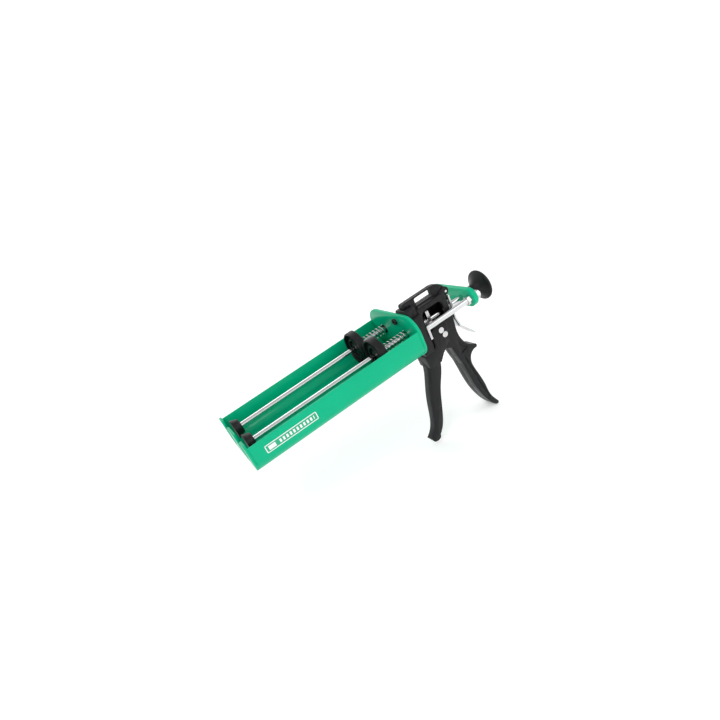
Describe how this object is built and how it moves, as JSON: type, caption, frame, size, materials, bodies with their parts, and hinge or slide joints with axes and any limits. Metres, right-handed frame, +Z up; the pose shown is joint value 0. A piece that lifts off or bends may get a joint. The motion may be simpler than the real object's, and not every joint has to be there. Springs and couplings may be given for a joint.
{
  "type": "dual cartridge caulking gun",
  "caption": "Manual dual-cartridge caulking gun: open steel cradle, paired push rods tied by a yoke, hand trigger, rod release and pull knob.",
  "frame": {"origin": "inner face of the front plate, on the gun's centre plane at the height of the push rods, where the front of the cartridge pair seats", "axes": "+X back along the push rods toward the knob, +Y to the gun's right, +Z up, away from the grip"},
  "size_m": [0.3654, 0.111, 0.195],
  "materials": {
    "green_paint": "gloss",
    "black_plastic": "satin",
    "steel": "bright",
    "zinc": "satin",
    "black_steel": "satin",
    "label": "gloss"
  },
  "bodies": {
    "frame": {"cradle": "green_paint", "front_plate": "green_paint", "rear_plate": "green_paint", "plate_screws": "black_steel", "rod_bushing": "black_plastic", "side_label": "label", "guide_block": "black_plastic", "housing_left": "black_plastic", "housing_right": "black_plastic", "housing_screws": "zinc", "pivot_pin": "zinc", "release_pin": "zinc", "drive_spring": "zinc", "release_spring": "zinc", "left_cup_spring": "zinc", "right_cup_spring": "zinc"},
    "trigger": {"trigger": "black_plastic", "drive_pin": "zinc"},
    "drive": {"drive_plates": "zinc"},
    "release": {"release_plate": "zinc"},
    "plunger": {"drive_rod": "steel", "follower_rod": "steel", "left_cone": "black_plastic", "right_cone": "black_plastic", "yoke": "green_paint", "stop_bar": "steel", "stop_plate": "zinc", "yoke_nuts": "zinc", "knob_washer": "zinc", "pull_knob": "black_plastic"},
    "left_cup": {"left_cup": "black_plastic"},
    "right_cup": {"right_cup": "black_plastic"}
  },
  "joints": [
    {"name": "trigger_hinge", "type": "hinge", "parent": "frame", "child": "trigger", "pos_m": [0.276, -0.0255, -0.022], "axis": [0, -1, 0], "range_deg": [0, 25], "stiffness_Nm_per_rad": 0.9, "springref_deg": -14.32},
    {"name": "drive_slide", "type": "slide", "parent": "frame", "child": "drive", "axis": [-1, 0, 0], "range_m": [0, 0.003], "deforming": ["drive_spring"]},
    {"name": "release_hinge", "type": "hinge", "parent": "frame", "child": "release", "pos_m": [0.303, -0.0255, 0.0215], "axis": [0, 1, 0], "range_deg": [0, 6], "stiffness_Nm_per_rad": 0.3, "springref_deg": -5.73, "deforming": ["release_spring"]},
    {"name": "plunger_slide", "type": "slide", "parent": "frame", "child": "plunger", "axis": [1, 0, 0], "range_m": [0, 0.165]},
    {"name": "left_cup_slide", "type": "slide", "parent": "frame", "child": "left_cup", "axis": [1, 0, 0], "range_m": [0, 0.016], "stiffness_N_per_m": 300, "springref_m": -0.004, "deforming": ["left_cup_spring"]},
    {"name": "right_cup_slide", "type": "slide", "parent": "frame", "child": "right_cup", "axis": [1, 0, 0], "range_m": [0, 0.016], "stiffness_N_per_m": 300, "springref_m": -0.004, "deforming": ["right_cup_spring"]}
  ],
  "couplings": [
    {"joint": "drive_slide", "follows": "trigger_hinge", "m_per_rad": 0.0066}
  ]
}
